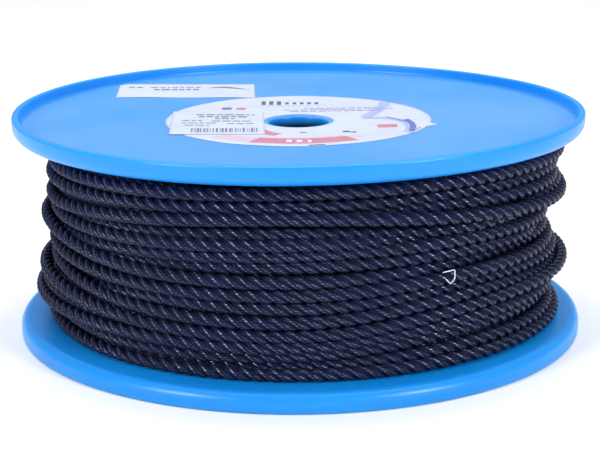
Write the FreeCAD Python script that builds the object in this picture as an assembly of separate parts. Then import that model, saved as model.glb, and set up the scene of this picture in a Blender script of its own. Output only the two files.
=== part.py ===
# A plastic reel of three-strand dock line, standing on its lower flange.
#
# Frame: millimetres, +Z up along the reel's axis, origin on the axis at the foot of the lower
# rim. +X is to the right of the side that the labels face.
#
# The reel is two identical moulded flanges plugged into a hollow drum. Each flange is a web with
# a rim that stands outward from it, so the reel rests on a rim. The rope is one long piece wound
# on the drum. Its turns are three nested rings here, inner, middle and outer, each one the
# outline of its share of the turns.

import FreeCAD, Part
import math
import os

Vector = FreeCAD.Vector

# ---- driving dimensions --------------------------------------------------------------------

FLANGE_RADIUS = 190.0
REEL_HEIGHT = 148.0

RIM_HEIGHT = 12.3
RIM_WALL = 4.5
RIM_ROPE_SIDE_ROUND = 4.5
RIM_FOOT_OUTER_ROUND = 1.5
RIM_FOOT_INNER_ROUND = 1.0
RIM_CORNER_FILLET = 3.0

# The packed turns push each web outward, so it leans like a shallow cone.
WEB_RECESS_AT_RIM = 7.5
WEB_LEAN = 0.019
WEB_LEAN_INNER_RADIUS = 30.0

BORE_RADIUS = 20.0
BORE_LIP_ROUND = 2.0
COLLAR_WALL = 3.0
COLLAR_DEPTH = 8.0

DRUM_RADIUS = 65.0
DRUM_WALL = 3.0
DRUM_SEAT_WIDTH = 3.0
SPIGOT_CLEARANCE = 0.2
SPIGOT_WALL = 2.4
SPIGOT_HEIGHT = 12.0
RIB_COUNT = 6
RIB_THICKNESS = 2.4
RIB_HEIGHT = 7.0

INNER_TURNS_RADIUS = 110.0
MIDDLE_TURNS_RADIUS = 145.0
OUTER_TURNS_RADIUS = 174.0

PAPER = 0.2
RING_LABEL_INNER_RADIUS = 23.5
RING_LABEL_RADIUS = 89.0

BARCODE_STICKER_SIZE = (62.0, 78.0)
BARCODE_STICKER_CENTRE = (-53.8, -9.5)
BARCODE_STICKER_TURN = 2.0

CONTENTS_LABEL_SIZE = (100.0, 50.0)
CONTENTS_LABEL_CENTRE = (-81.8, 107.5)
CONTENTS_LABEL_TURN = 1.8
CONTENTS_LABEL_MAX_RADIUS = 182.0

STAPLE_WIRE = 0.8
STAPLE_AZIMUTH = -59.2
STAPLE_HEIGHT = 71.4
STAPLE_RADIUS = 174.6
# Points of the bent wire, as (along the turn, up), from one leg round to the other.
STAPLE_POINTS = ((-5.5, 3.6), (3.4, 4.0), (3.4, -1.4), (0.4, -4.4), (-3.4, -0.6))
STAPLE_BEND = 0.9

# ---- sizes that follow -----------------------------------------------------------------------

RIM_INNER_RADIUS = FLANGE_RADIUS - RIM_WALL
ROPE_FACE_RADIUS = FLANGE_RADIUS - RIM_ROPE_SIDE_ROUND
DRUM_INNER_RADIUS = DRUM_RADIUS - DRUM_WALL
SEAT_RADIUS = DRUM_RADIUS + DRUM_SEAT_WIDTH
SPIGOT_RADIUS = DRUM_INNER_RADIUS - SPIGOT_CLEARANCE
COLLAR_RADIUS = BORE_RADIUS + COLLAR_WALL


def outer_face(radius):
    """Height of the lower web's outer face, which looks down into the rim."""
    return WEB_RECESS_AT_RIM + WEB_LEAN * (RIM_INNER_RADIUS - max(radius, WEB_LEAN_INNER_RADIUS))


def rope_face(radius):
    """Height of the lower web's rope-side face, which is flat where the drum stands on it."""
    return RIM_HEIGHT + WEB_LEAN * (ROPE_FACE_RADIUS - max(radius, SEAT_RADIUS))


SEAT_HEIGHT = rope_face(0.0)

# ---- helpers ---------------------------------------------------------------------------------


def quarter_arc(start, centre, end):
    """An arc in the XZ half plane from start to end, the short way round centre."""
    radius = math.hypot(start[0] - centre[0], start[1] - centre[1])
    mid_x = (start[0] + end[0]) / 2.0 - centre[0]
    mid_z = (start[1] + end[1]) / 2.0 - centre[1]
    scale = radius / math.hypot(mid_x, mid_z)
    middle = (centre[0] + mid_x * scale, centre[1] + mid_z * scale)
    points = [Vector(x, 0, z) for x, z in (start, middle, end)]
    return Part.Arc(*points).toShape()


def line(start, end):
    return Part.LineSegment(Vector(start[0], 0, start[1]), Vector(end[0], 0, end[1])).toShape()


def turned(edges):
    """A solid of revolution about Z from a closed outline in the XZ half plane."""
    face = Part.Face(Part.Wire(edges))
    solid = face.revolve(Vector(0, 0, 0), Vector(0, 0, 1), 360)
    return Part.Solid(solid.Shells[0]) if solid.ShapeType != "Solid" else solid


def turned_polygon(points):
    edges = [line(a, b) for a, b in zip(points, points[1:] + points[:1])]
    return turned(edges)


def mirrored_up(shape):
    """The same shape on the upper flange."""
    return shape.mirror(Vector(0, 0, REEL_HEIGHT / 2.0), Vector(0, 0, 1))


def save(shape, name):
    solids = shape.Solids
    print(name, "solids", len(solids), "valid", shape.isValid(), "cm3", round(shape.Volume / 1000, 2))
    shape.exportStep("parts/" + name + ".step")


# ---- pieces ----------------------------------------------------------------------------------


def flange_shell():
    """The lower flange's web, rim and bore collar as one outline turned about the axis."""
    foot_out = FLANGE_RADIUS - RIM_FOOT_OUTER_ROUND
    foot_in = RIM_INNER_RADIUS + RIM_FOOT_INNER_ROUND
    shoulder = RIM_HEIGHT - RIM_ROPE_SIDE_ROUND
    corner = RIM_INNER_RADIUS - RIM_CORNER_FILLET
    corner_z = outer_face(RIM_INNER_RADIUS)
    wall_top = corner_z - RIM_CORNER_FILLET
    hub = outer_face(0.0)
    collar_top = hub + COLLAR_DEPTH
    lip = BORE_RADIUS + BORE_LIP_ROUND
    edges = [
        line((foot_in, 0), (foot_out, 0)),
        quarter_arc((foot_out, 0), (foot_out, RIM_FOOT_OUTER_ROUND), (FLANGE_RADIUS, RIM_FOOT_OUTER_ROUND)),
        line((FLANGE_RADIUS, RIM_FOOT_OUTER_ROUND), (FLANGE_RADIUS, shoulder)),
        quarter_arc((FLANGE_RADIUS, shoulder), (ROPE_FACE_RADIUS, shoulder), (ROPE_FACE_RADIUS, RIM_HEIGHT)),
        line((ROPE_FACE_RADIUS, RIM_HEIGHT), (SEAT_RADIUS, SEAT_HEIGHT)),
        line((SEAT_RADIUS, SEAT_HEIGHT), (COLLAR_RADIUS, SEAT_HEIGHT)),
        line((COLLAR_RADIUS, SEAT_HEIGHT), (COLLAR_RADIUS, collar_top)),
        line((COLLAR_RADIUS, collar_top), (BORE_RADIUS, collar_top)),
        line((BORE_RADIUS, collar_top), (BORE_RADIUS, hub + BORE_LIP_ROUND)),
        quarter_arc((BORE_RADIUS, hub + BORE_LIP_ROUND), (lip, hub + BORE_LIP_ROUND), (lip, hub)),
        line((lip, hub), (WEB_LEAN_INNER_RADIUS, hub)),
        line((WEB_LEAN_INNER_RADIUS, hub), (corner, outer_face(corner))),
        quarter_arc((corner, outer_face(corner)), (corner, wall_top), (RIM_INNER_RADIUS, wall_top)),
        line((RIM_INNER_RADIUS, wall_top), (RIM_INNER_RADIUS, RIM_FOOT_INNER_ROUND)),
        quarter_arc((RIM_INNER_RADIUS, RIM_FOOT_INNER_ROUND), (foot_in, RIM_FOOT_INNER_ROUND), (foot_in, 0)),
    ]
    return turned(edges)


def hub_ribs():
    """Ribs that tie the bore collar to the spigot inside the drum."""
    ribs = []
    length = SPIGOT_RADIUS - SPIGOT_WALL / 2.0 - COLLAR_RADIUS + COLLAR_WALL / 2.0
    for index in range(RIB_COUNT):
        rib = Part.makeBox(length, RIB_THICKNESS, RIB_HEIGHT + 1.0)
        rib.translate(Vector(COLLAR_RADIUS - COLLAR_WALL / 2.0, -RIB_THICKNESS / 2.0, SEAT_HEIGHT - 1.0))
        rib.rotate(Vector(0, 0, 0), Vector(0, 0, 1), (index + 0.5) * 360.0 / RIB_COUNT)
        ribs.append(rib)
    return ribs


def flange():
    """Web, rim, collar, the spigot that centres the drum, and the ribs between them."""
    spigot_base = SEAT_HEIGHT - 1.0
    spigot_top = SEAT_HEIGHT + SPIGOT_HEIGHT
    spigot_inner = SPIGOT_RADIUS - SPIGOT_WALL
    spigot = turned_polygon([
        (spigot_inner, spigot_base),
        (SPIGOT_RADIUS, spigot_base),
        (SPIGOT_RADIUS, spigot_top),
        (spigot_inner, spigot_top),
    ])
    return flange_shell().fuse([spigot] + hub_ribs()).removeSplitter()


def core_drum():
    top = REEL_HEIGHT - SEAT_HEIGHT
    return turned_polygon([
        (DRUM_INNER_RADIUS, SEAT_HEIGHT),
        (DRUM_RADIUS, SEAT_HEIGHT),
        (DRUM_RADIUS, top),
        (DRUM_INNER_RADIUS, top),
    ])


def turns(inner_radius, outer_radius):
    """One ring of wound rope that fills the reel from web to web between two radii."""
    below = [(inner_radius, rope_face(inner_radius)), (outer_radius, rope_face(outer_radius))]
    if inner_radius < SEAT_RADIUS:
        below.insert(1, (SEAT_RADIUS, SEAT_HEIGHT))
    above = [(radius, REEL_HEIGHT - z) for radius, z in reversed(below)]
    return turned_polygon(below + above)


def paper_layer(inner_radius, outer_radius, lift):
    """A sheet of paper's thickness that lies on the lower web's outer face, lift below it."""
    radii = [inner_radius, outer_radius]
    if inner_radius < WEB_LEAN_INNER_RADIUS < outer_radius:
        radii.insert(1, WEB_LEAN_INNER_RADIUS)
    near = [(radius, outer_face(radius) - lift) for radius in radii]
    far = [(radius, z - PAPER) for radius, z in reversed(near)]
    return turned_polygon(near + far)


def rectangle_block(size, centre, turn):
    """An upright block over a rectangle on the upper web, tall enough to cut any layer."""
    block = Part.makeBox(size[0], size[1], REEL_HEIGHT)
    block.translate(Vector(-size[0] / 2.0, -size[1] / 2.0, 0))
    block.rotate(Vector(0, 0, 0), Vector(0, 0, 1), turn)
    block.translate(Vector(centre[0], centre[1], REEL_HEIGHT / 2.0))
    return block


def ring_label():
    return mirrored_up(paper_layer(RING_LABEL_INNER_RADIUS, RING_LABEL_RADIUS, 0.0))


def barcode_sticker():
    layer = mirrored_up(paper_layer(RING_LABEL_INNER_RADIUS - 2.0, FLANGE_RADIUS / 1.5, PAPER))
    return layer.common(rectangle_block(BARCODE_STICKER_SIZE, BARCODE_STICKER_CENTRE, BARCODE_STICKER_TURN))


def contents_label():
    layer = mirrored_up(paper_layer(RING_LABEL_RADIUS, CONTENTS_LABEL_MAX_RADIUS, 0.0))
    return layer.common(rectangle_block(CONTENTS_LABEL_SIZE, CONTENTS_LABEL_CENTRE, CONTENTS_LABEL_TURN))


def rounded_path(points, bend):
    """Straight runs joined by tangent arcs of one radius."""
    edges = []
    start = points[0]
    for before, corner, after in zip(points, points[1:], points[2:]):
        back = (before - corner).normalize()
        ahead = (after - corner).normalize()
        half_turn = (math.pi - back.getAngle(ahead)) / 2.0
        setback = bend * math.tan(half_turn)
        arc_start = corner + back * setback
        arc_end = corner + ahead * setback
        bisector = (back + ahead).normalize()
        centre = corner + bisector * (bend / math.cos(half_turn))
        edges.append(Part.LineSegment(start, arc_start).toShape())
        edges.append(Part.Arc(arc_start, centre - bisector * bend, arc_end).toShape())
        start = arc_end
    edges.append(Part.LineSegment(start, points[-1]).toShape())
    return Part.Wire(edges)


def rope_staple():
    """A bent wire staple that lies on the outer turns."""
    azimuth = math.radians(STAPLE_AZIMUTH)
    out = Vector(math.cos(azimuth), math.sin(azimuth), 0)
    along = Vector(-math.sin(azimuth), math.cos(azimuth), 0)
    middle = out * STAPLE_RADIUS + Vector(0, 0, STAPLE_HEIGHT)
    points = [middle + along * side + Vector(0, 0, up) for side, up in STAPLE_POINTS]
    path = rounded_path(points, STAPLE_BEND)
    first = (points[1] - points[0]).normalize()
    section = Part.Wire(Part.makeCircle(STAPLE_WIRE / 2.0, points[0], first))
    return path.makePipeShell([section], True, True)


def main():
    os.makedirs("parts", exist_ok=True)
    lower = flange()
    save(lower, "lower_flange")
    save(mirrored_up(lower), "upper_flange")
    save(core_drum(), "core_drum")
    save(turns(DRUM_RADIUS, INNER_TURNS_RADIUS), "rope_inner_turns")
    save(turns(INNER_TURNS_RADIUS, MIDDLE_TURNS_RADIUS), "rope_middle_turns")
    save(turns(MIDDLE_TURNS_RADIUS, OUTER_TURNS_RADIUS), "rope_outer_turns")
    save(ring_label(), "ring_label")
    save(barcode_sticker(), "barcode_sticker")
    save(contents_label(), "contents_label")
    save(rope_staple(), "rope_staple")


main()
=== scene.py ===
"""Looks of a plastic reel wound full of navy three-strand dock line, standing on its lower flange.

Metres, +Z up, origin on the reel's axis at the foot of the lower rim. The labels face -Y, where the
camera stands. An azimuth is in degrees from that side, positive towards +X.
"""

import math

import bpy
import numpy as np
from mathutils import Matrix, Vector


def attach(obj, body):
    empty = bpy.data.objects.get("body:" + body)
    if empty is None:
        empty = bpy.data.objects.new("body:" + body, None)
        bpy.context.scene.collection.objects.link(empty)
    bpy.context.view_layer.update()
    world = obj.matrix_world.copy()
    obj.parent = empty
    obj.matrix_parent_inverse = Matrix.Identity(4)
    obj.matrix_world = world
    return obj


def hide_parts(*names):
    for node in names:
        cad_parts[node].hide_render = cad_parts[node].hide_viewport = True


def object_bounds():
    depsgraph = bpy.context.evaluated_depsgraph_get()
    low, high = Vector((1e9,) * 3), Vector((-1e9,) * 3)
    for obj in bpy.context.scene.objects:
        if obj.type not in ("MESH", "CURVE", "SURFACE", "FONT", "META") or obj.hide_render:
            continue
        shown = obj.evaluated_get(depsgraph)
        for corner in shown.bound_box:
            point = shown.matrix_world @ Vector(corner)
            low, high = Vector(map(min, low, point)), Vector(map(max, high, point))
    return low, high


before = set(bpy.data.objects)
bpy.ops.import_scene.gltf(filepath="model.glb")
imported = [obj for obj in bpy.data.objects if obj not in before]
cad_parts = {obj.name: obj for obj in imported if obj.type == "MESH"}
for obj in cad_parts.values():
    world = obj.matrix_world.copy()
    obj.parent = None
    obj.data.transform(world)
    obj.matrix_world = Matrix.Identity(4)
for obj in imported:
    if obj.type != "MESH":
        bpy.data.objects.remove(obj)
cad_low, cad_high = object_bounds()

MM = 0.001

# ---- sizes, in millimetres, with turns in degrees --------------------------------------------

REEL_RADIUS = (cad_high[0] - cad_low[0]) / 2 / MM
REEL_HEIGHT = (cad_high[2] - cad_low[2]) / MM

RIM_WALL = 4.5
RIM_HEIGHT = 12.3
RIM_CORNER_FILLET = 3.0
RIM_INNER_RADIUS = REEL_RADIUS - RIM_WALL
WEB_RECESS_AT_RIM = 7.5
WEB_LEAN = 0.019
HUB_RADIUS = 30.0
SEAT_RADIUS = 68.0
BORE_RADIUS = 20.0
COLLAR_RADIUS = 23.0
COLLAR_LENGTH = 8.0
SPIGOT_INNER, SPIGOT_OUTER, SPIGOT_LENGTH = 59.4, 61.8, 12.0
RIB_COUNT, RIB_HALF_THICKNESS, RIB_HEIGHT = 6, 1.2, 7.0
UPPER_WARP = 0.84

ROPE = 8.0
STRANDS = 3
LAY = 26.5

PAPER, GLUE, INK = 0.2, 0.01, 0.03
RING_INNER, RING_OUTER = 23.5, 89.0
TORN_TIP_REACH, TORN_TIP_ROOT = 6.5, 14.0
TORN_TIP_AT, TORN_TIP_SPREAD = math.radians(345.4), 0.06
STICKER_SIZE, STICKER_AT, STICKER_TURN, STICKER_LIFT = (62, 78), (-53.8, -9.5), 2.0, 0.4
CONTENTS_SIZE, CONTENTS_AT, CONTENTS_TURN = (100, 50), (-81.8, 107.5), 1.8
RING_WAVES, STICKER_WAVES, CONTENTS_WAVES = 0.15, 0.2, 0.25


def outer_face(radius):
    """How deep the web's outer face lies inside the rim's foot."""
    return WEB_RECESS_AT_RIM + WEB_LEAN * (RIM_INNER_RADIUS - np.maximum(radius, HUB_RADIUS))


def rope_face(radius):
    """Height of the lower web's rope side."""
    return RIM_HEIGHT + WEB_LEAN * (RIM_INNER_RADIUS - np.maximum(radius, SEAT_RADIUS))


def upper_warp(x, y):
    """The upper flange is slightly saddle shaped."""
    return -2 * UPPER_WARP * x * y / REEL_RADIUS**2


# ---- camera ----------------------------------------------------------------------------------

# Angles in degrees, distances in flange diameters from the axis and from the reel's top.
CAMERA_PITCH, CAMERA_YAW, CAMERA_ROLL = 14.9, 0.02, -0.479
CAMERA_DISTANCE, CAMERA_RISE = 2.8852, 0.5262
CAMERA_LENS = 99.46


def add_camera():
    """Stands in front of the reel, a little above it, with a long lens."""
    diameter = 2 * REEL_RADIUS * MM
    pitch = math.radians(CAMERA_PITCH)
    yaw = math.radians(CAMERA_YAW)
    roll = math.radians(CAMERA_ROLL)
    forward = Vector((
        math.sin(yaw) * math.cos(pitch),
        math.cos(yaw) * math.cos(pitch),
        -math.sin(pitch),
    ))
    level = Vector((math.cos(yaw), -math.sin(yaw), 0))
    upright = level.cross(forward)
    right = math.cos(roll) * level + math.sin(roll) * upright
    up = -math.sin(roll) * level + math.cos(roll) * upright
    data = bpy.data.cameras.new("camera")
    data.sensor_width = 36.0
    data.lens = CAMERA_LENS
    camera = bpy.data.objects.new("camera", data)
    turn = Matrix((right, up, -forward)).transposed()
    camera.matrix_world = turn.to_4x4()
    camera.location = (0, -CAMERA_DISTANCE * diameter, REEL_HEIGHT * MM + CAMERA_RISE * diameter)
    bpy.context.scene.collection.objects.link(camera)
    bpy.context.scene.camera = camera


# ---- materials -------------------------------------------------------------------------------


class Shader:
    """A node material, with short calls for the nodes it is made of."""

    def __init__(self, name):
        self.material = bpy.data.materials.new(name)
        self.material.use_nodes = True
        self.nodes = self.material.node_tree.nodes
        self.links = self.material.node_tree.links
        self.surface = self.nodes["Principled BSDF"]

    def value(self, **sockets):
        for name, number in sockets.items():
            self.surface.inputs[name.replace("_", " ")].default_value = number

    def node(self, kind, **settings):
        made = self.nodes.new(kind)
        for name, setting in settings.items():
            setattr(made, name, setting)
        return made

    def link(self, source, target):
        self.links.new(source, target)

    def math(self, operation, first, second=0.0, third=0.0):
        made = self.node("ShaderNodeMath", operation=operation)
        for socket, value in zip(made.inputs, (first, second, third)):
            if isinstance(value, (int, float)):
                socket.default_value = value
            else:
                self.link(value, socket)
        return made.outputs[0]

    def smooth_range(self, value, low, high):
        made = self.node("ShaderNodeMapRange", interpolation_type="SMOOTHSTEP")
        self.link(value, made.inputs["Value"])
        made.inputs["From Min"].default_value = low
        made.inputs["From Max"].default_value = high
        return made.outputs["Result"]

    def blend(self, factor, first, second):
        made = self.node("ShaderNodeMix", data_type="RGBA")
        self.link(factor, made.inputs["Factor"])
        for socket, value in (("A", first), ("B", second)):
            if isinstance(value, tuple):
                made.inputs[socket].default_value = value
            else:
                self.link(value, made.inputs[socket])
        return made.outputs["Result"]

    def place(self, scale=(1, 1, 1)):
        where = self.node("ShaderNodeTexCoord")
        mapping = self.node("ShaderNodeMapping")
        mapping.inputs["Scale"].default_value = scale
        self.link(where.outputs["Object"], mapping.inputs["Vector"])
        return mapping.outputs["Vector"]

    def noise(self, vector, scale, detail=3.0, roughness=0.55):
        made = self.node("ShaderNodeTexNoise")
        made.inputs["Scale"].default_value = scale
        made.inputs["Detail"].default_value = detail
        made.inputs["Roughness"].default_value = roughness
        self.link(vector, made.inputs["Vector"])
        return made.outputs["Fac"]

    def ramp(self, factor, stops):
        made = self.node("ShaderNodeValToRGB")
        elements = made.color_ramp.elements
        while len(elements) < len(stops):
            elements.new(0.5)
        for element, (place, colour) in zip(elements, stops):
            element.position = place
            element.color = (*colour, 1)
        self.link(factor, made.inputs["Fac"])
        return made.outputs["Color"]

    def grey(self, factor, low, high):
        """Turns a 0 to 1 factor into a number from low to high."""
        made = self.node("ShaderNodeMapRange")
        made.inputs["To Min"].default_value = low
        made.inputs["To Max"].default_value = high
        self.link(factor, made.inputs["Value"])
        return made.outputs["Result"]

    def bump(self, height, distance, strength=1.0, under=None):
        made = self.node("ShaderNodeBump")
        made.inputs["Strength"].default_value = strength
        made.inputs["Distance"].default_value = distance
        self.link(height, made.inputs["Height"])
        if under is not None:
            self.link(under, made.inputs["Normal"])
        return made.outputs["Normal"]


PLASTIC = (0.003, 0.245, 0.70), (0.006, 0.270, 0.76)
HAZY_PLASTIC = (0.066, 0.258, 0.59), (0.110, 0.292, 0.64)
DUSTY_PLASTIC = (0.12, 0.44, 0.85)
# The colour of the shade painted into the upper bore.
PAINTED_BORE_SHADE = (0.0003, 0.004, 0.014)

# Heights: the upper web's outer face lies above the first, and the shade painted into the bore is darkest
# below the second.
WEB_ABOVE = REEL_HEIGHT - 11.5
BORE_SHADE_FULL_BELOW = REEL_HEIGHT - 18.5


def reel_plastic():
    """Sky blue moulded plastic, softly glossy, with flow marks and scratches.

    The labelled face is hazier, and shade is painted into the upper bore, darker with depth.
    """
    shader = Shader("reel_plastic")
    flow = shader.noise(shader.place((1, 1, 2)), 9.0, 2.0)
    grain = shader.noise(shader.place(), 900.0, 2.0)
    scratch = shader.noise(shader.place((30, 900, 300)), 1.0, 2.0)
    dust = shader.noise(shader.place(), 340.0, 5.0, 0.7)
    plain = shader.ramp(flow, list(zip((0.3, 0.7), PLASTIC)))
    hazy = shader.ramp(flow, list(zip((0.3, 0.7), HAZY_PLASTIC)))
    where = shader.node("ShaderNodeSeparateXYZ")
    shader.link(shader.place(), where.inputs["Vector"])
    x, y, z = where.outputs
    squared = shader.math("MULTIPLY_ADD", y, y, shader.math("MULTIPLY", x, x))
    radius = shader.math("SQRT", squared)
    inside = shader.math("LESS_THAN", radius, (RIM_INNER_RADIUS - 2.0) * MM)
    high = shader.math("GREATER_THAN", z, WEB_ABOVE * MM)
    web = shader.math("MULTIPLY", inside, high)
    face = shader.blend(web, plain, hazy)
    # Painted shade: inside the upper bore the colour darkens towards a near black blue with depth.
    collar = shader.math("LESS_THAN", radius, (COLLAR_RADIUS + 0.5) * MM)
    depth = shader.smooth_range(z, WEB_ABOVE * MM, BORE_SHADE_FULL_BELOW * MM)
    upper = shader.math("GREATER_THAN", z, REEL_HEIGHT / 2 * MM)
    bore_shade = shader.math("MULTIPLY", shader.math("MULTIPLY", collar, depth), upper)
    face = shader.blend(bore_shade, face, (*PAINTED_BORE_SHADE, 1))
    speck = shader.ramp(dust, [(0.70, (0, 0, 0)), (0.80, (0.35, 0.35, 0.35))])
    face = shader.blend(speck, face, (*DUSTY_PLASTIC, 1))
    shader.link(face, shader.surface.inputs["Base Color"])
    rough = shader.math("MULTIPLY_ADD", web, 0.30, shader.grey(scratch, 0.26, 0.40))
    shader.link(rough, shader.surface.inputs["Roughness"])
    shine = shader.math("MULTIPLY_ADD", web, -0.30, 0.4)
    shader.link(shine, shader.surface.inputs["Specular IOR Level"])
    fine = shader.bump(grain, 0.00004, 0.35)
    shader.link(shader.bump(scratch, 0.00002, 0.3, fine), shader.surface.inputs["Normal"])
    shader.value(IOR=1.5, Subsurface_Weight=0.3, Subsurface_Scale=0.012)
    shader.surface.inputs["Subsurface Radius"].default_value = (0.2, 0.7, 1.0)
    return shader.material


YARNS_ROUND = 14
YARN_DRIFT = 90.0
NAVY = (0.0062, 0.0088, 0.028), (0.0092, 0.0122, 0.039)
# Painted highlights: the pale navy of the lines along each strand, then each line's place and strength.
HIGHLIGHT_NAVY = (0.052, 0.058, 0.104)
HIGHLIGHT_LINES = ((-1.05, 1.0), (1.05, 0.4))


def rope_fibre():
    """Navy filament yarns, with two pale highlight lines painted along each strand.

    The yarns run nearly along the rope, so they break the painted highlight lines up into beads. Each
    line has its place across the strand, as an angle of which a full turn is one strand, and its
    strength.
    """
    shader = Shader("rope_fibre")
    where = shader.node("ShaderNodeUVMap", uv_map="RopeUV")
    split = shader.node("ShaderNodeSeparateXYZ")
    shader.link(where.outputs["UV"], split.inputs["Vector"])
    along, around = split.outputs["X"], split.outputs["Y"]
    uneven = shader.noise(shader.place(), 500.0, 2.0)
    phase = shader.math("MULTIPLY", around, YARNS_ROUND * 2 * math.pi)
    phase = shader.math("MULTIPLY_ADD", along, YARN_DRIFT, phase)
    phase = shader.math("MULTIPLY_ADD", uneven, 4.0, phase)
    yarn = shader.math("MULTIPLY_ADD", shader.math("SINE", phase), 0.5, 0.5)
    strand = shader.math("MULTIPLY_ADD", along, -1.0 / (LAY * MM), around)
    strand = shader.math("MULTIPLY_ADD", uneven, 0.06, strand)
    # Painted highlights: two pale lines along each strand, broken into beads by the yarns and blended
    # into the base colour.
    painted_highlight = 0.0
    for side, strength in HIGHLIGHT_LINES:
        across = shader.math("MULTIPLY_ADD", strand, STRANDS * 2 * math.pi, side)
        line = shader.smooth_range(shader.math("COSINE", across), 0.74, 1.0)
        painted_highlight = shader.math("MULTIPLY_ADD", line, strength, painted_highlight)
    broken = shader.math("MULTIPLY_ADD", shader.math("POWER", yarn, 1.5), 0.8, 0.2)
    highlight_beads = shader.math("MULTIPLY", painted_highlight, broken)
    fibre = shader.noise(shader.place(), 5200.0, 2.0)
    patch = shader.noise(shader.place(), 60.0, 3.0)
    colour = shader.ramp(patch, list(zip((0.35, 0.7), NAVY)))
    colour = shader.blend(highlight_beads, colour, (*HIGHLIGHT_NAVY, 1))
    shader.link(colour, shader.surface.inputs["Base Color"])
    shader.link(shader.grey(fibre, 0.22, 0.32), shader.surface.inputs["Roughness"])
    shine = shader.math("MULTIPLY_ADD", highlight_beads, 1.4, 0.08)
    shader.link(shine, shader.surface.inputs["Specular IOR Level"])
    coarse = shader.bump(yarn, 0.00008, 0.8)
    shader.link(shader.bump(fibre, 0.00003, 0.6, coarse), shader.surface.inputs["Normal"])
    shader.value(IOR=1.5)
    shader.surface.inputs["Specular Tint"].default_value = (0.70, 0.76, 1.0, 1)
    return shader.material


def paper(name, colour, roughness):
    """Coated paper: faint fibre, soft waves and a few grubby marks."""
    shader = Shader(name)
    fibre = shader.noise(shader.place(), 1500.0, 3.0)
    grime = shader.noise(shader.place(), 40.0, 4.0, 0.65)
    shade = shader.ramp(grime, [(0.35, tuple(0.93 * c for c in colour)), (0.6, colour)])
    shader.link(shade, shader.surface.inputs["Base Color"])
    rough = shader.grey(grime, roughness - 0.08, roughness + 0.08)
    shader.link(rough, shader.surface.inputs["Roughness"])
    shader.link(shader.bump(fibre, 0.00003, 0.4), shader.surface.inputs["Normal"])
    shader.value(Specular_IOR_Level=0.15)
    return shader.material


def ink(name, colour):
    """Printing ink with a little wear."""
    shader = Shader(name)
    worn = shader.noise(shader.place(), 1200.0, 3.0)
    pale = tuple(0.6 * c + 0.32 for c in colour)
    shade = shader.ramp(worn, [(0.45, colour), (0.75, pale)])
    shader.link(shade, shader.surface.inputs["Base Color"])
    shader.link(shader.grey(worn, 0.55, 0.7), shader.surface.inputs["Roughness"])
    shader.value(Specular_IOR_Level=0.12)
    return shader.material


def drawn_wire():
    """Bright drawn steel wire with fine lines and dull patches."""
    shader = Shader("drawn_wire")
    lines = shader.noise(shader.place((1, 1, 12)), 1500.0, 3.0)
    dull = shader.noise(shader.place(), 260.0, 3.0)
    colour = shader.ramp(dull, [(0.3, (0.62, 0.62, 0.64)), (0.7, (0.86, 0.86, 0.88))])
    shader.link(colour, shader.surface.inputs["Base Color"])
    shader.link(shader.grey(lines, 0.25, 0.5), shader.surface.inputs["Roughness"])
    shader.link(shader.bump(lines, 0.00002, 0.5), shader.surface.inputs["Normal"])
    shader.value(Metallic=0.85)
    return shader.material


# ---- mesh helpers ----------------------------------------------------------------------------


def add_mesh(name, points, loops, starts, material):
    """An object from flat arrays: points in metres, each face's corners, where each face starts."""
    mesh = bpy.data.meshes.new(name)
    mesh.vertices.add(len(points))
    mesh.vertices.foreach_set("co", np.asarray(points, np.float32).ravel())
    mesh.loops.add(len(loops))
    mesh.loops.foreach_set("vertex_index", np.asarray(loops, np.int32))
    mesh.polygons.add(len(starts))
    mesh.polygons.foreach_set("loop_start", np.asarray(starts, np.int32))
    mesh.polygons.foreach_set("use_smooth", np.full(len(starts), True))
    mesh.update(calc_edges=True)
    mesh.materials.append(material)
    made = bpy.data.objects.new(name, mesh)
    bpy.context.scene.collection.objects.link(made)
    return made


def grid_quads(rows, columns, wrap_rows=False, wrap_columns=False):
    """Corner numbers of the quads of a grid of points numbered row by row."""
    row = np.arange(rows if wrap_rows else rows - 1)
    column = np.arange(columns if wrap_columns else columns - 1)
    a, b = np.meshgrid(row, column, indexing="ij")
    c, d = (a + 1) % rows, (b + 1) % columns
    a, c = a * columns, c * columns
    return np.stack([a + b, a + d, c + d, c + b], -1).reshape(-1, 4)


def add_quads(name, points, quads, material):
    """An object of quads only."""
    return add_mesh(name, points, quads.ravel(), np.arange(len(quads)) * 4, material)


# ---- rope: how it is wound -------------------------------------------------------------------

STATIONS = 36
AZIMUTHS = np.arange(STATIONS) * 360.0 / STATIONS - 180.0
DRUM_RADIUS = 65.0
LAYER_COUNT = 12
WINDING_PITCH = 8.1
RIPPLE = 0.25

# The last turns lie against the twelfth layer. Two of them touch when their centres are SQUEEZED apart.
SEAT = 163.0
DEEPEST = 157.0
SQUEEZED = 7.0
BACK_SLACK = 3.0

# The turns that show, numbered from the top down: the height of each at SEEN_AT, and how far out
# from the seat radius it lies at SLACK_AT. Past SEEN_AT it keeps about its height as far as LEVEL_TO.
SEEN_AT = (-75.0, -40.0, 0.0, 40.0, 75.0)
SLACK_AT = (-80.0, -45.0, 0.0, 45.0, 80.0)
LEVEL_TO = 100.0
TURN_01 = ((120.0, 122.0, 126.5, 126.5, 124.5), (1, 1, 4, 6, 11))
TURN_02 = ((111.0, 113.5, 118.0, 118.0, 116.5), (2.5, 1.5, 1, 2, 7))
TURN_03 = ((106.0, 109.5, 114.0, 112.0, 109.0), (-2, -4, -4, 5, 10))
TURN_04 = ((98.0, 104.5, 112.0, 104.5, 97.5), (3, 3, 6, 9, 13))
TURN_05 = ((93.5, 96.5, 102.0, 96.5, 103.5), (-1, 2, 3, 2, 10))
TURN_06 = ((90.0, 92.0, 96.0, 92.0, 90.0), (0, 4, 5, 0, 0))
TURN_07 = ((80.0, 84.5, 89.0, 89.5, 84.5), (0, 2, 3, 3, 1))
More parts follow.
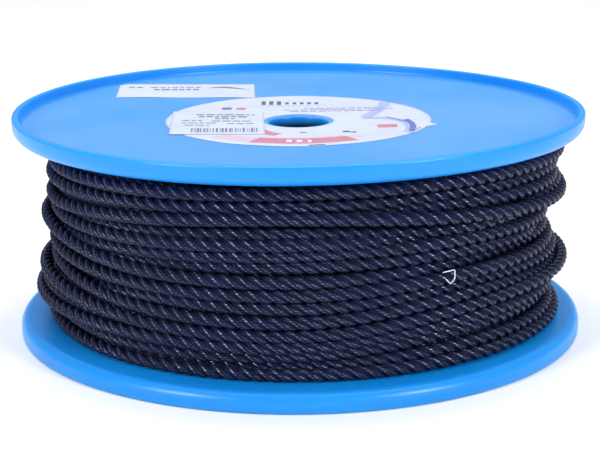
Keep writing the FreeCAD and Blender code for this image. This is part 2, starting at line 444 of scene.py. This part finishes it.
TURN_08 = ((78.0, 78.5, 82.0, 82.0, 76.0), (-1, 0, 2, 1, 1))
TURN_09 = ((83.0, 74.5, 73.0, 75.5, 73.0), (7, 5.5, 5, 0, 2))
TURN_10 = ((67.0, 64.5, 65.0, 70.0, 67.0), (2, 3, 5, 7, 4))
TURN_11 = ((43.5, 56.5, 57.0, 62.0, 59.0), (2, 1, 4, 4, 7))
TURN_12 = ((57.5, 50.5, 48.5, 56.5, 49.0), (1, 3, 5, 6, 10))
TURN_13 = ((48.5, 42.0, 40.0, 49.5, 50.0), (9.5, 6, 5, 8, 15))

# One more turn closes a gap behind TURN_13 and TURN_14.
HIDDEN_TURN = ((38.0, 38.0, 37.0, 45.0, 43.0), (7.5, 0, -4, -2, 4))
TURN_14 = ((32.5, 33.5, 33.0, 41.0, 36.0), (12.5, 7.5, 5, 6, 5))
TURN_15 = ((25.0, 25.0, 27.5, 34.5, 30.5), (0, 2, 5, 5, 4))
TURN_16 = ((21.0, 18.5, 21.0, 25.0, 22.0), (-4, -2, 1, 5, 5.5))
TURN_17 = ((17.5, 16.5, 16.5, 17.5, 16.5), (4, 5, 6, 8, 10))

# The order in which they are laid: upward first, then down over those.
LAST_TURNS = (
    TURN_16, TURN_14, HIDDEN_TURN, TURN_11, TURN_08, TURN_07, TURN_05, TURN_03, TURN_02,
    TURN_01, TURN_04, TURN_06, TURN_09, TURN_10, TURN_12, TURN_13, TURN_15, TURN_17,
)


def ripple(rng, size):
    """A smooth seeded wander round one turn, in millimetres."""
    angle = np.radians(AZIMUTHS)
    waves = 0.0
    for k in (1, 2, 3):
        waves = waves + rng.normal(0, size / k) * np.sin(k * angle + rng.uniform(0, 2 * math.pi))
    return waves / 1.5


def height_limits(radius):
    """Lowest and highest place of a turn's centre between the webs."""
    low = rope_face(radius) + ROPE / 2
    return low, REEL_HEIGHT - low


def layered_turns(rng):
    """The machine-wound turns, layer on layer, to and fro from web to web."""
    turns = []
    for layer in range(LAYER_COUNT):
        radius = DRUM_RADIUS + ROPE * (layer + 0.5)
        low, high = height_limits(radius)
        count = round((high - low) / WINDING_PITCH) + 1
        for turn in range(count):
            part = turn + (AZIMUTHS + 180.0) / 360.0 - 0.5
            rise = np.clip(part * (high - low) / (count - 1), 0, high - low)
            height = low + rise if layer % 2 == 0 else high - rise
            turns.append((height + ripple(rng, RIPPLE), radius + ripple(rng, RIPPLE)))
    return turns


def last_turns(rng):
    """The turns laid last and loosest. Each crosses over to the next at the back."""
    heights, radii = [], []
    knots = (-180.0, -LEVEL_TO, *SEEN_AT, LEVEL_TO, 180.0)
    for index, (seen, slack) in enumerate(LAST_TURNS):
        before = LAST_TURNS[max(index - 1, 0)][0]
        after = LAST_TURNS[min(index + 1, len(LAST_TURNS) - 1)][0]
        start, end = (before[-1] + seen[0]) / 2, (seen[-1] + after[0]) / 2
        known = (start, seen[0], *seen, seen[-1], end)
        heights.append(smooth_through(knots, known, AZIMUTHS) + ripple(rng, RIPPLE))
        known = (BACK_SLACK, *slack, BACK_SLACK)
        radii.append(SEAT + smooth_through((-180.0, *SLACK_AT, 180.0), known, AZIMUTHS))
    return settle(np.array(heights), np.array(radii))


def smooth_through(knots, known, where):
    """A curve through the known values with level-headed slopes, read at each place in where."""
    knots, known = np.array(knots), np.array(known)
    secant = np.diff(known) / np.diff(knots)
    slope = np.concatenate([[secant[0]], (secant[1:] + secant[:-1]) / 2, [secant[-1]]])
    i = np.clip(np.searchsorted(knots, where, side="right") - 1, 0, len(knots) - 2)
    width = knots[i + 1] - knots[i]
    t = (where - knots[i]) / width
    return (
        known[i] * (1 + 2 * t) * (1 - t) ** 2
        + slope[i] * width * t * (1 - t) ** 2
        + known[i + 1] * t * t * (3 - 2 * t)
        + slope[i + 1] * width * t * t * (t - 1)
    )


def settle(heights, radii):
    """Where two turns crowd each other, the inner one sinks in behind the outer one."""
    low, high = height_limits(radii)
    heights = np.clip(heights, low, high)
    settled = radii.copy()
    for column in range(STATIONS):
        order = np.argsort(-radii[:, column], kind="stable")
        for place, turn in enumerate(order):
            for other in order[:place]:
                room = SQUEEZED**2 - (heights[turn, column] - heights[other, column]) ** 2
                if room > 0:
                    deeper = settled[other, column] - math.sqrt(room)
                    settled[turn, column] = min(settled[turn, column], deeper)
        settled[:, column] = np.maximum(settled[:, column], DEEPEST)
    run = settled.ravel()
    run = (np.roll(run, 1) + 2 * run + np.roll(run, -1)) / 4
    return list(zip(heights, run.reshape(settled.shape)))


def wind_rope():
    """Every station of the whole winding, from the drum outward, in metres."""
    rng = np.random.default_rng(11)
    laid = layered_turns(rng) + last_turns(rng)
    heights = np.concatenate([height for height, _ in laid])
    radii = np.concatenate([radius for _, radius in laid])
    angles = np.radians(np.tile(AZIMUTHS, len(laid)))
    return np.stack([radii * np.sin(angles), -radii * np.cos(angles), heights], -1) * MM


# ---- rope: its mesh --------------------------------------------------------------------------

POINTS_ROUND = 24
COARSE_STEP, FINE_STEP = LAY / 4, LAY / 12
STRAND_OFFSET = 0.25 * ROPE
STRAND_RADIUS = 0.285 * ROPE
SWELL_RNG = np.random.default_rng(7)
BAKE_LAYS, BAKE_BANDS = 5, 8

# How much a strand swells, as a share of its size, in waves of these lengths in metres.
STRAND_SWELL = 0.011
SWELL_WAVES = (0.11, 0.31, 0.83)

# Where the rope is parted in three, in metres from its inner end, and how long each part comes out.
MIDDLE_FROM, OUTER_FROM = 46.0, 97.0
INNER_LENGTH, MIDDLE_LENGTH, OUTER_LENGTH = 45.9, 50.9, 49.2


def centreline(name, stations):
    """Points along the smooth curve that has the stations as its control points."""
    data = bpy.data.curves.new(name + "_route", "CURVE")
    data.dimensions = "3D"
    data.resolution_u = 6
    spline = data.splines.new("NURBS")
    spline.points.add(len(stations) - 1)
    spline.points.foreach_set("co", np.hstack([stations, np.ones((len(stations), 1))]).ravel())
    spline.order_u = 3
    spline.use_endpoint_u = True
    guide = bpy.data.objects.new(name + "_route", data)
    bpy.context.scene.collection.objects.link(guide)
    bpy.context.view_layer.update()
    read = bpy.data.meshes.new_from_object(guide)
    points = np.zeros(len(read.vertices) * 3)
    read.vertices.foreach_get("co", points)
    bpy.data.objects.remove(guide)
    bpy.data.meshes.remove(read)
    return points.reshape(-1, 3)


def strand_outline():
    """Distance from the rope's axis to its skin, round one section of the strands."""
    share = 360.0 / STRANDS
    angle = (np.arange(POINTS_ROUND) * 360.0 / POINTS_ROUND + share / 2) % share - share / 2
    along = STRAND_OFFSET * np.cos(np.radians(angle))
    aside = STRAND_OFFSET * np.sin(np.radians(angle))
    return (along + np.sqrt(STRAND_RADIUS**2 - aside**2)) * MM


def add_rope(name, stations, ring_step, material):
    """Strands laid right-handed round the centreline, as one closed mesh, and its centreline."""
    path = centreline(name, stations)
    steps = np.linalg.norm(np.diff(path, axis=0), axis=1)
    run = np.concatenate([[0], np.cumsum(steps)])
    heading = np.gradient(path, axis=0)
    rings = int(run[-1] / (ring_step * MM)) + 1
    at = np.arange(rings) * ring_step * MM
    centre = np.stack([np.interp(at, run, path[:, i]) for i in range(3)], -1)
    forward = np.stack([np.interp(at, run, heading[:, i]) for i in range(3)], -1)
    forward /= np.linalg.norm(forward, axis=1)[:, None]
    outward = centre * (1, 1, 0)
    outward -= forward * np.sum(outward * forward, axis=1)[:, None]
    outward /= np.linalg.norm(outward, axis=1)[:, None]
    side = np.cross(forward, outward)
    share = np.arange(POINTS_ROUND) / POINTS_ROUND
    turn = share[None, :] + at[:, None] / (LAY * MM)
    skin = strand_outline()[None, :] * strand_swell(at)
    points = (
        centre[:, None, :]
        + (skin * np.cos(2 * math.pi * turn))[..., None] * outward[:, None, :]
        + (skin * np.sin(2 * math.pi * turn))[..., None] * side[:, None, :]
    )
    quads = grid_quads(rings, POINTS_ROUND, wrap_columns=True)
    first = np.arange(POINTS_ROUND)
    last = first + (rings - 1) * POINTS_ROUND
    loops = np.concatenate([quads.ravel(), first[::-1], last])
    starts = np.concatenate([np.arange(len(quads)) * 4, len(quads) * 4 + np.array([0, POINTS_ROUND])])
    rope = add_mesh(name, points.reshape(-1, 3), loops, starts, material)
    add_rope_maps(rope.data, rings, at, ring_step)
    return rope, path


def strand_swell(at):
    """Each strand is a little fuller in some places than in others."""
    share = POINTS_ROUND // STRANDS
    strand = (np.arange(POINTS_ROUND) + share // 2) // share % STRANDS
    swell = np.zeros((len(at), STRANDS))
    for index in range(STRANDS):
        for wave in SWELL_WAVES:
            start = SWELL_RNG.uniform(0, 6.28)
            swell[:, index] += STRAND_SWELL * np.sin(2 * math.pi * at / wave + start)
    return 1 + swell[:, strand]


def add_rope_maps(mesh, rings, at, ring_step):
    """RopeUV counts metres along and turns round. OFBake lays each few lays on one band of a square."""
    ring = np.repeat(np.arange(rings - 1), POINTS_ROUND)
    point = np.tile(np.arange(POINTS_ROUND), rings - 1)
    ring_of = np.stack([ring, ring, ring + 1, ring + 1], -1)
    point_of = np.stack([point, point + 1, point + 1, point], -1)
    caps = np.zeros((2 * POINTS_ROUND, 2))
    around = point_of / POINTS_ROUND + at[ring_of] / (LAY * MM)
    fill = np.concatenate([np.stack([at[ring_of], around], -1).reshape(-1, 2), caps])
    mesh.uv_layers.new(name="RopeUV").data.foreach_set("uv", fill.astype(np.float32).ravel())
    per_band = round(BAKE_LAYS * LAY / ring_step)
    first = ring[:, None]
    band = first // per_band % BAKE_BANDS
    across = (first % per_band + (ring_of - first)) / per_band
    up = (band + point_of / POINTS_ROUND) / BAKE_BANDS
    fill = np.concatenate([np.stack([across, up], -1).reshape(-1, 2), caps])
    mesh.uv_layers.new(name="OFBake").data.foreach_set("uv", fill.astype(np.float32).ravel())


def split_at(stations, length):
    """The station at which the winding has come that far, in metres."""
    steps = np.linalg.norm(np.diff(stations, axis=0), axis=1)
    return int(np.searchsorted(np.cumsum(steps), length)) + 1


def make_ropes():
    """One rope, wound in one go, shown as three pieces by depth."""
    stations = wind_rope()
    first = split_at(stations, MIDDLE_FROM)
    second = split_at(stations, OUTER_FROM)
    material = rope_fibre()
    shares = (
        ("rope_inner", stations[: first + 1], COARSE_STEP, INNER_LENGTH, "object"),
        ("rope_middle", stations[first : second + 1], COARSE_STEP, MIDDLE_LENGTH, "object"),
        ("rope_outer", stations[second:], FINE_STEP, OUTER_LENGTH, "bare"),
    )
    for name, share, ring_step, length, far_end in shares:
        rope, path = add_rope(name, share, ring_step, material)
        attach(rope, "root")
        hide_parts(name + "_turns")


# ---- reel ------------------------------------------------------------------------------------

FLANGE_SEGMENTS = 288


def rounded_outline(corners, steps=6):
    """A closed outline from corners given as (x, z, rounding radius)."""
    points = []
    count = len(corners)
    for index in range(count):
        x, z, radius = corners[index]
        here = np.array([x, z])
        back = np.array(corners[index - 1][:2]) - here
        ahead = np.array(corners[(index + 1) % count][:2]) - here
        back, ahead = back / np.linalg.norm(back), ahead / np.linalg.norm(ahead)
        half = math.acos(np.clip(np.dot(back, ahead), -1, 1)) / 2
        if radius == 0:
            points.append(here)
            continue
        centre = here + (back + ahead) / np.linalg.norm(back + ahead) * radius / math.sin(half)
        start = here + back * radius / math.tan(half) - centre
        end = here + ahead * radius / math.tan(half) - centre
        sweep = math.pi - 2 * half
        side = math.copysign(1, start[0] * end[1] - start[1] * end[0])
        for step in range(steps + 1):
            a = side * sweep * step / steps
            x = start[0] * math.cos(a) - start[1] * math.sin(a)
            z = start[0] * math.sin(a) + start[1] * math.cos(a)
            points.append(centre + (x, z))
    return np.array(points)


def flange_outline():
    """The lower flange's section: rim, web, drum spigot and bore collar. Corners have their rounding."""
    hub = float(outer_face(0))
    seat = float(rope_face(0))
    return rounded_outline((
        (RIM_INNER_RADIUS, 0, 1.0),
        (REEL_RADIUS, 0, 1.5),
        (REEL_RADIUS, RIM_HEIGHT, 6.5),
        (SEAT_RADIUS, seat, 0.2),
        (SPIGOT_OUTER, seat, 0.3),
        (SPIGOT_OUTER, seat + SPIGOT_LENGTH, 0.6),
        (SPIGOT_INNER, seat + SPIGOT_LENGTH, 0.6),
        (SPIGOT_INNER, seat, 0.8),
        (COLLAR_RADIUS, seat, 0.8),
        (COLLAR_RADIUS, hub + COLLAR_LENGTH, 0.5),
        (BORE_RADIUS, hub + COLLAR_LENGTH, 0.5),
        (BORE_RADIUS, hub, 2.0),
        (HUB_RADIUS, hub, 0),
        (RIM_INNER_RADIUS, WEB_RECESS_AT_RIM, RIM_CORNER_FILLET),
    ))


def cut_up(outline, longest=6.0):
    """The same outline with its long runs cut, so that the lathe's quads stay near square."""
    points = []
    for here, there in zip(outline, np.roll(outline, -1, axis=0)):
        parts = max(1, int(np.linalg.norm(there - here) / longest))
        for part in range(parts):
            points.append(here + (there - here) * part / parts)
    return np.array(points)


def add_flange(name, upper, material):
    """The section turned round the axis, with its ribs. The upper flange is the lower one upside down."""
    outline = cut_up(flange_outline())
    angle = np.arange(FLANGE_SEGMENTS) * 2 * math.pi / FLANGE_SEGMENTS
    x = outline[:, 0][None, :] * np.cos(angle)[:, None]
    y = outline[:, 0][None, :] * np.sin(angle)[:, None]
    z = np.broadcast_to(outline[:, 1][None, :], x.shape)
    rows, columns = x.shape
    quads = grid_quads(rows, columns, wrap_rows=True, wrap_columns=True)
    if upper:
        z = REEL_HEIGHT - z + upper_warp(x, y)
    else:
        quads = quads[:, ::-1]
    points = [np.stack([x, y, z], -1).reshape(-1, 3)]
    faces = [quads]
    total = rows * columns
    for corners, rib_quads in hub_ribs(upper):
        points.append(corners)
        faces.append(rib_quads + total)
        total += len(corners)
    made = add_quads(name, np.concatenate(points) * MM, np.concatenate(faces), material)
    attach(made, "root")
    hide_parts(name)


def hub_ribs(upper):
    """Ribs from the bore collar to the spigot, on the drum side of the web, sunk a little into each."""
    seat = float(rope_face(0))
    length = (COLLAR_RADIUS - 1.0, SPIGOT_INNER + 0.6)
    width = (-RIB_HALF_THICKNESS, RIB_HALF_THICKNESS)
    height = (seat - 0.5, seat + RIB_HEIGHT)
    cube = np.array([(x, y, z) for x in length for y in width for z in height])
    quads = np.array([
        (0, 1, 3, 2), (4, 6, 7, 5), (0, 4, 5, 1), (2, 3, 7, 6), (0, 2, 6, 4), (1, 5, 7, 3),
    ])
    ribs = []
    for index in range(RIB_COUNT):
        a = 2 * math.pi * (index + 0.5) / RIB_COUNT
        turn = np.array([(math.cos(a), math.sin(a), 0), (-math.sin(a), math.cos(a), 0), (0, 0, 1)])
        rib = cube @ turn
        if upper:
            rib = rib * (1, 1, -1) + (0, 0, REEL_HEIGHT)
            ribs.append((rib, quads[:, ::-1]))
        else:
            ribs.append((rib, quads))
    return ribs


# ---- labels ----------------------------------------------------------------------------------

# The gap between words, and the least room in which a word or a bar is begun.
WORD_SPACE, LEAST_MARK = 1.3, 1.5

# How far apart a painted line's places and a painted rope's strands lie, and how far the strands slant.
LINE_STEP = 2.0
PAINTED_STEP, PAINTED_SLANT = 3.6, 1.3


def web_top(x, y):
    """A point on the upper web's outer face. What would climb the rim's fillet is tucked in by it."""
    radius = np.hypot(x, y)
    keep = np.minimum((RIM_INNER_RADIUS - RIM_CORNER_FILLET) / np.maximum(radius, 1e-6), 1.0)
    x, y = x * keep, y * keep
    return x, y, REEL_HEIGHT - outer_face(radius * keep) + upper_warp(x, y)


def sheet_waves(x, y, size):
    """The slight bubbles of a stuck label."""
    return size * (1 + np.sin(x / 9.0 + 1.3) * np.sin(y / 11.0 + 0.4)) / 2


def add_paper(name, node, x, y, lift, material, wrap=False):
    """A thin sheet over a grid of places on the upper web, with a top, an underside and its edges."""
    px, py, pz = web_top(x, y)
    top = np.stack([px, py, pz + lift + PAPER], -1)
    under = np.stack([px, py, pz + lift + GLUE], -1)
    rows, columns = x.shape
    count = rows * columns
    quads = grid_quads(rows, columns, wrap_columns=wrap)
    faces = [quads, quads[:, ::-1] + count]
    number = np.arange(count).reshape(rows, columns)
    borders = [number[0], number[-1][::-1]]
    if wrap:
        borders = [np.append(border, border[0]) for border in borders]
    else:
        borders += [number[::-1, 0], number[:, -1]]
    for border in borders:
        a, b = border[:-1], border[1:]
        faces.append(np.stack([b, a, a + count, b + count], -1))
    points = np.concatenate([top, under]).reshape(-1, 3) * MM
    made = add_quads(name, points, np.concatenate(faces), material)
    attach(made, "root")
    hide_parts(node)
    return made


def rectangle(size, centre, turn, rows, columns):
    """A grid of places over a turned rectangle."""
    u = np.linspace(-size[0] / 2, size[0] / 2, columns)
    v = np.linspace(-size[1] / 2, size[1] / 2, rows)
    return placed(*np.meshgrid(u, v), centre, turn)


def placed(x, y, centre, turn):
    """Flat places moved from a label's middle to its place on the web."""
    a = math.radians(turn)
    return (
        centre[0] + x * math.cos(a) - y * math.sin(a),
        centre[1] + x * math.sin(a) + y * math.cos(a),
    )


def block(x, y, width, height):
    """A printed rectangle: its places in a label's own flat millimetres."""
    u = np.linspace(x - width / 2, x + width / 2, max(2, int(width / 4) + 2))
    v = np.linspace(y - height / 2, y + height / 2, max(2, int(height / 4) + 2))
    return np.meshgrid(u, v)


def words(rng, left, right, y, height):
    """A line of small print, as plain dashes of word length."""
    marks = []
    x = left
    while x < right - LEAST_MARK:
        width = min(rng.uniform(2.0, 7.0), right - x)
        marks.append(block(x + width / 2, y, width, height))
        x += width + WORD_SPACE
    return marks


def bars(rng, left, right, y, height):
    """A bar code of made-up bars."""
    marks = []
    x = left
    while x < right - LEAST_MARK:
        width = rng.choice([0.5, 0.9, 1.4])
        marks.append(block(x + width / 2, y, width, height))
        x += width + rng.choice([0.5, 0.9, 1.3])
    return marks


def band(radius, width, start, end):
    """A curved band round the reel's axis, from one angle to another in degrees."""
    angle = np.radians(np.linspace(start, end, max(3, int(abs(end - start) / 3) + 2)))
    across = np.linspace(-width / 2, width / 2, 4)
    angle, across = np.meshgrid(angle, across)
    reach = radius + across
    return reach * np.cos(angle), reach * np.sin(angle)


def ribbon(route, width, step):
    """Evenly spaced places along a rounded route, with the heading and the sideways reach at each."""
    route = np.array(route, dtype=float)
    for _ in range(3):
        quarter = 0.75 * route[:-1] + 0.25 * route[1:]
        three = 0.25 * route[:-1] + 0.75 * route[1:]
        route = np.concatenate([route[:1], np.stack([quarter, three], 1).reshape(-1, 2), route[-1:]])
    run = np.concatenate([[0], np.cumsum(np.hypot(*np.diff(route, axis=0).T))])
    at = np.arange(0, run[-1], step)
    middle = np.stack([np.interp(at, run, route[:, 0]), np.interp(at, run, route[:, 1])], -1)
    heading = np.gradient(middle, axis=0)
    heading /= np.hypot(*heading.T)[:, None]
    sideways = heading[:, ::-1] * (-1, 1) * width / 2
    return middle, heading, sideways


def painted_line(route, width):
    """A plain ribbon along a route."""
    middle, _, sideways = ribbon(route, width, LINE_STEP)
    edges = np.stack([middle - sideways, middle + sideways])
    return edges[..., 0], edges[..., 1]


def painted_strands(route, width):
    """A picture of laid rope: slanting strands along a route."""
    marks = []
    for middle, heading, sideways in zip(*ribbon(route, width, PAINTED_STEP)):
        ahead = heading * PAINTED_SLANT
        low, high = middle - sideways - ahead, middle + sideways + ahead
        half = ahead * 0.6
        corner = np.stack([[low - half, low + half], [high - half, high + half]])
        marks.append((corner[..., 0], corner[..., 1]))
    return marks


def add_print(name, marks, lift, waves, material):
    """Printed marks of one colour, just above the paper they are on."""
    points, quads = [], []
    count = 0
    for x, y in marks:
        px, py, pz = web_top(x, y)
        pz = pz + lift + sheet_waves(x, y, waves) + PAPER + INK
        points.append(np.stack([px, py, pz], -1).reshape(-1, 3))
        quads.append(grid_quads(*x.shape) + count)
        count += x.size
    made = add_quads(name, np.concatenate(points) * MM, np.concatenate(quads), material)
    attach(made, "root")


def print_ring(rng):
    """Everything printed on the ring label, as plain shapes that spell nothing, colour by colour, with a
    painted shadow in dark ink along its front edge.
    """
    dark = [block(-24.5 + 5.4 * index, 62.5, 3.0, 13.0) for index in range(3)]
    dark += [block(-8.0 + 5.2 * index, 61.5, 2.6, 7.0) for index in range(5)]
    dark += [block(3.0, -42.0, 4.0, 3.0), block(31.0, -41.0, 4.5, 5.0), block(35.5, -43.5, 4.0, 3.5)]
    # Painted shadow: a dark band along the ring label's front edge, not print.
    dark += [band(87.0, 3.0, -86.0, -79.0)]
    grey = []
    for line in ((4, 62, 43.0, 1.7), (-10, 66, 38.0, 1.7), (-6, 58, 33.0, 1.7), (-34, 10, 52.0, 0.9)):
        grey += words(rng, *line)
    blue = [block(-49.7, 42.7, 6.5, 8.0), painted_line([(59, 8), (66, -2), (77, -18)], 1.6)]
    blue += [painted_line([(72, -2), (76, -20), (73, -46)], 4.0)]
    red = [block(-39.9, 42.2, 6.5, 8.0), block(58.5, -24.0, 13.0, 11.0)]
    red += [band(72.5, 17.0, -113.0, -62.0), painted_line([(-27, -30), (-20, -44), (-12, -50)], 9.0)]
    red += [band(86.0, 1.6, 190.0, 196.0), band(86.0, 1.6, -28.0, -22.0)]
    pink = [band(61.5, 4.0, -113.0, -62.0), band(73.0, 15.0, -134.0, -113.0)]
    pink += [band(68.5, 9.0, -62.0, -54.0)]
    clear = [block(-6.0, -72.0, 3.6, 8.0), block(0.5, -72.5, 3.6, 8.0), block(7.0, -73.0, 2.4, 8.0)]
    upper = [(61, 60), (60, 50), (54, 28), (45, 8)]
    lower = [(45, 6), (58, 5), (70, -6), (75, -26), (71, -50)]
    pale = [painted_line(upper, 9.0), painted_line(lower, 8.0)]
    violet = painted_strands(upper, 8.0) + painted_strands(lower, 7.0)
    return (
        ("ring_label_pale_print", pale, "pale_ink", 0.0),
        ("ring_label_dark_print_and_shade", dark, "dark_ink_and_shade", INK),
        ("ring_label_grey_print", grey, "grey_ink", INK),
        ("ring_label_pink_print", pink, "pink_ink", 0.0),
        ("ring_label_red_print", red, "red_ink", INK),
        ("ring_label_clear_print", clear, "clear_ink", 2 * INK),
        ("ring_label_violet_print", violet, "violet_ink", INK),
        ("ring_label_blue_print", blue, "blue_ink", 2 * INK),
    )


def print_sticker(rng):
    """Lines, columns of figures and a bar code, all made up."""
    title = ((-15, 25, 28.0, 3.4), (-13, 21, 21.0, 4.2), (-2, 11, 14.0, 3.4))
    figures = (
        (-24, -8, 7.5, 2.8), (-4, 22, 6.0, 3.0), (-24, 0, -1.0, 2.8), (6, 24, -3.0, 2.8),
        (-22, -4, -9.0, 2.6),
    )
    marks = []
    for line in title + figures:
        marks += words(rng, *line)
    return marks + bars(rng, -17, 28, -26.0, 15.0)


def print_contents(rng):
    """Two lines of small print and a plain flourish, along the label's rear half."""
    marks = []
    for line in ((-43, -31, 12.0, 3.6), (-27, 10, 12.0, 3.0), (-24, 10, 3.5, 5.0)):
        marks += words(rng, *line)
    sway = np.linspace(0, 1, 14)
    x = 14 + 32 * sway
    y = 9 + 4.5 * np.sin(sway * math.pi * 1.4)
    width = 0.6 + 5.0 * np.sin(sway * math.pi)
    marks.append((np.stack([x, x]), np.stack([y - width / 2, y + width / 2])))
    return marks


COATED_PAPER, MATTE_PAPER = (0.54, 0.56, 0.69), (0.54, 0.56, 0.67)
INK_COLOURS = {
    "dark_ink_and_shade": (0.05, 0.06, 0.10),
    "grey_ink": (0.12, 0.12, 0.18),
    "blue_ink": (0.07, 0.11, 0.36),
    "red_ink": (0.47, 0.15, 0.21),
    "pink_ink": (0.55, 0.40, 0.50),
    "violet_ink": (0.22, 0.25, 0.52),
    "pale_ink": (0.42, 0.46, 0.72),
    "clear_ink": (0.60, 0.56, 0.70),
}


def ring_places():
    """The ring label's places, ring by ring outward, with a torn tip at its outer edge."""
    angle = np.linspace(0, 2 * math.pi, 193)[:-1]
    radius, angle = np.meshgrid(np.linspace(RING_INNER, RING_OUTER, 24), angle, indexing="ij")
    tip = np.maximum(0, 1 - np.abs(angle - TORN_TIP_AT) / TORN_TIP_SPREAD)
    rise = np.clip((radius - RING_OUTER + TORN_TIP_ROOT) / TORN_TIP_ROOT, 0, 1)
    radius = radius + TORN_TIP_REACH * tip * rise
    return radius * np.cos(angle), radius * np.sin(angle)


def make_labels():
    """The ring label, the sticker over its left half and the contents label near the rim."""
    coated = paper("coated_paper", COATED_PAPER, 0.55)
    matte = paper("label_paper", MATTE_PAPER, 0.62)
    inks = {name: ink(name, colour) for name, colour in INK_COLOURS.items()}
    rng = np.random.default_rng(3)
    x, y = ring_places()
    lift = sheet_waves(x, y, RING_WAVES)
    ring = add_paper("ring_label_sheet", "ring_label", x, y, lift, coated, wrap=True)
    for name, marks, colour, lift in print_ring(rng):
        add_print(name, marks, lift, RING_WAVES, inks[colour])
    x, y = rectangle(STICKER_SIZE, STICKER_AT, STICKER_TURN, 40, 32)
    lift = STICKER_LIFT + sheet_waves(x, y, STICKER_WAVES)
    sticker = add_paper("barcode_sticker_sheet", "barcode_sticker", x, y, lift, matte)
    marks = [placed(*mark, STICKER_AT, STICKER_TURN) for mark in print_sticker(rng)]
    grey = inks["grey_ink"]
    add_print("barcode_sticker_print", marks, STICKER_LIFT, STICKER_WAVES, grey)
    x, y = rectangle(CONTENTS_SIZE, CONTENTS_AT, CONTENTS_TURN, 26, 51)
    lift = sheet_waves(x, y, CONTENTS_WAVES)
    contents = add_paper("contents_label_sheet", "contents_label", x, y, lift, matte)
    marks = [placed(*mark, CONTENTS_AT, CONTENTS_TURN) for mark in print_contents(rng)]
    add_print("contents_label_print", marks, 0.0, CONTENTS_WAVES, grey)


# ---- floor and lights ------------------------------------------------------------------------

FLOOR_REACH, FLOOR_DROP = 6, 0.0002
WORLD = 0.36
REEL_MIDDLE = (0, 0, 0.07)


def add_floor():
    """A plain pale floor. It glows far behind the reel, so that it runs into a white background."""
    shader = Shader("floor")
    shader.value(Roughness=0.9)
    shader.surface.inputs["Base Color"].default_value = (0.97, 0.93, 0.90, 1)
    where = shader.node("ShaderNodeSeparateXYZ")
    shader.link(shader.place(), where.inputs["Vector"])
    far = shader.smooth_range(where.outputs["Y"], 0.8, 4.0)
    shader.link(shader.math("MULTIPLY", far, 0.45), shader.surface.inputs["Emission Strength"])
    shader.surface.inputs["Emission Color"].default_value = (1, 1, 1, 1)
    corners = np.array([(-1, -1, 0), (1, -1, 0), (1, 1, 0), (-1, 1, 0)]) * FLOOR_REACH
    floor = add_quads("floor", corners - (0, 0, FLOOR_DROP), np.array([(0, 1, 2, 3)]), shader.material)


def add_light(name, place, size, power):
    """A cool white panel that faces the reel."""
    data = bpy.data.lights.new(name, "AREA")
    data.shape = "RECTANGLE"
    data.size, data.size_y = size
    data.energy = power
    data.color = (0.88, 0.94, 1.0)
    light = bpy.data.objects.new(name, data)
    light.location = place
    light.rotation_euler = (Vector(REEL_MIDDLE) - Vector(place)).to_track_quat("-Z", "Y").to_euler()
    bpy.context.scene.collection.objects.link(light)


def add_lights():
    """Two panels in front of the reel, one above it, and an even white surround."""
    world = bpy.data.worlds.new("studio")
    bpy.context.scene.world = world
    world.use_nodes = True
    world.node_tree.nodes["Background"].inputs["Color"].default_value = (1, 1, 1, 1)
    world.node_tree.nodes["Background"].inputs["Strength"].default_value = WORLD
    add_light("left_softbox", (-1.3, -1.2, 0.8), (0.45, 0.6), 20)
    add_light("right_softbox", (1.3, -1.2, 0.8), (0.45, 0.6), 20)
    add_light("top_softbox", (0, 0.5, 2.2), (2.4, 2.4), 62)
    bpy.context.scene.view_settings.view_transform = "Standard"


# ---- the whole scene -------------------------------------------------------------------------

add_camera()
make_ropes()
plastic = reel_plastic()
add_flange("lower_flange", False, plastic)
add_flange("upper_flange", True, plastic)
make_labels()
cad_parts["core_drum"].data.materials[0] = plastic
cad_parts["rope_staple"].data.materials[0] = drawn_wire()
add_floor()
add_lights()
